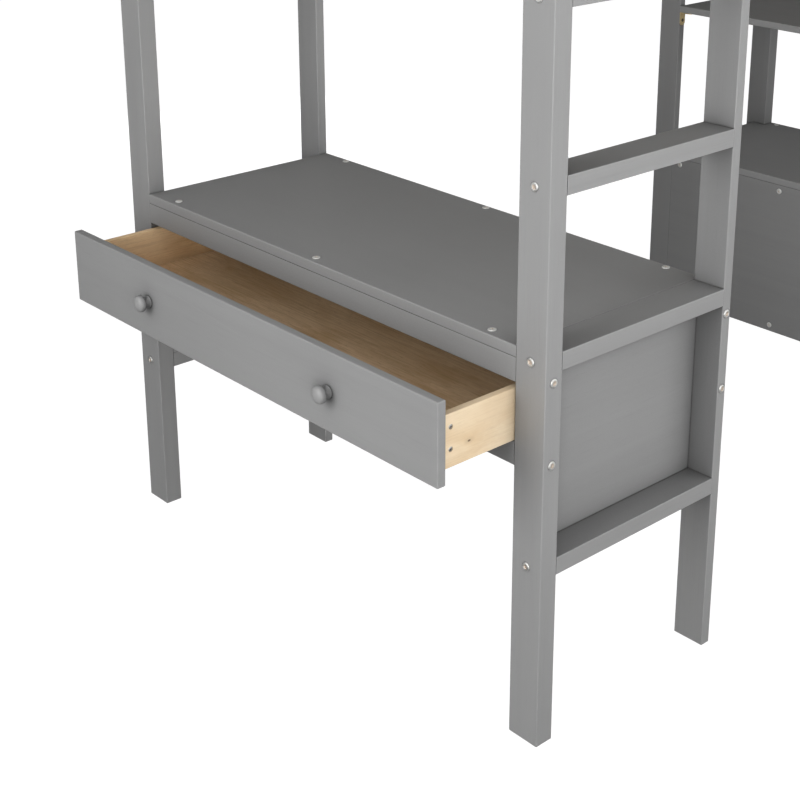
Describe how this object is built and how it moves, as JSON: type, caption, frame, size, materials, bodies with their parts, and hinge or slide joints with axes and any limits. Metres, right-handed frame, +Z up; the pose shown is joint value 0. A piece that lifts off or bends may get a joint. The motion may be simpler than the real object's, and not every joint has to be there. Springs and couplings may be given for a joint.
{
  "type": "loft bed with desk",
  "caption": "Grey painted timber loft bed with a built-in desk and wide drawer at one end, a ladder beside it and a low cabinet with a shelf at the other end",
  "frame": {"origin": "on the floor at the middle of the whole bounding box in plan, drawer standing open as in the rest pose", "axes": "+X to the right seen from the desk end, the ladder is on the +X side; -Y is the desk end, the way the drawer slides out; +Z up"},
  "size_m": [1.116, 2.195, 1.8],
  "materials": {
    "painted_timber": "satin grey paint over timber, edges eased",
    "bare_pine": "unfinished pine, straight grain with small knots",
    "thin_ply": "thin unfinished plywood",
    "zinc_steel": "zinc plated, satin",
    "brass_plate": "brass plated, satin",
    "dark_steel": "blackened screw heads"
  },
  "bodies": {
    "frame": {"post_front_left": "painted_timber", "post_front_right": "painted_timber", "post_rear_left": "painted_timber", "post_rear_right": "painted_timber", "desk_post_left": "painted_timber", "desk_post_right": "painted_timber", "cabinet_post_left": "painted_timber", "cabinet_post_right": "painted_timber", "ladder_rung_1": "painted_timber", "ladder_rung_2": "painted_timber", "ladder_rung_3": "painted_timber", "ladder_rung_4": "painted_timber", "left_low_rail": "painted_timber", "desk_front_upper_rail": "painted_timber", "desk_front_lower_rail": "painted_timber", "desk_rear_upper_rail": "painted_timber", "desk_rear_lower_rail": "painted_timber", "desk_panel_left": "painted_timber", "desk_panel_right": "painted_timber", "desktop": "painted_timber", "cabinet_back_panel": "painted_timber", "cabinet_cleats": "painted_timber", "cabinet_floor": "painted_timber", "cabinet_divider_left": "painted_timber", "cabinet_divider_right": "painted_timber", "cabinet_rail_left": "painted_timber", "cabinet_rail_right": "painted_timber", "cabinet_side_left": "painted_timber", "cabinet_side_right": "painted_timber", "cabinet_top_board": "painted_timber", "upper_shelf": "painted_timber", "bed_side_rail_left": "painted_timber", "bed_side_rail_right": "painted_timber", "bed_end_rail_front": "painted_timber", "bed_end_rail_rear": "painted_timber", "guard_rails_left": "painted_timber", "guard_rails_right": "painted_timber", "guard_rails_front": "painted_timber", "guard_rails_rear": "painted_timber", "guard_stiles": "painted_timber", "drawer_runner_left": "bare_pine", "drawer_runner_right": "bare_pine", "slat_ledgers": "bare_pine", "bed_slats": "bare_pine", "lengthwise_bolts": "zinc_steel", "crosswise_bolts": "zinc_steel", "desk_screws": "zinc_steel", "cabinet_screws": "zinc_steel", "shelf_brackets": "brass_plate", "bracket_screws": "dark_steel"},
    "drawer": {"drawer_front": "painted_timber", "drawer_side_left": "bare_pine", "drawer_side_right": "bare_pine", "drawer_back": "bare_pine", "drawer_bottom": "thin_ply", "drawer_corner_blocks": "bare_pine", "drawer_knob_left": "painted_timber", "drawer_knob_right": "painted_timber", "drawer_screws": "zinc_steel", "knob_screws": "zinc_steel"}
  },
  "joints": [
    {"name": "drawer_slide", "type": "slide", "parent": "frame", "child": "drawer", "axis": [0, -1, 0], "range_m": [-0.1435, 0.146]}
  ]
}
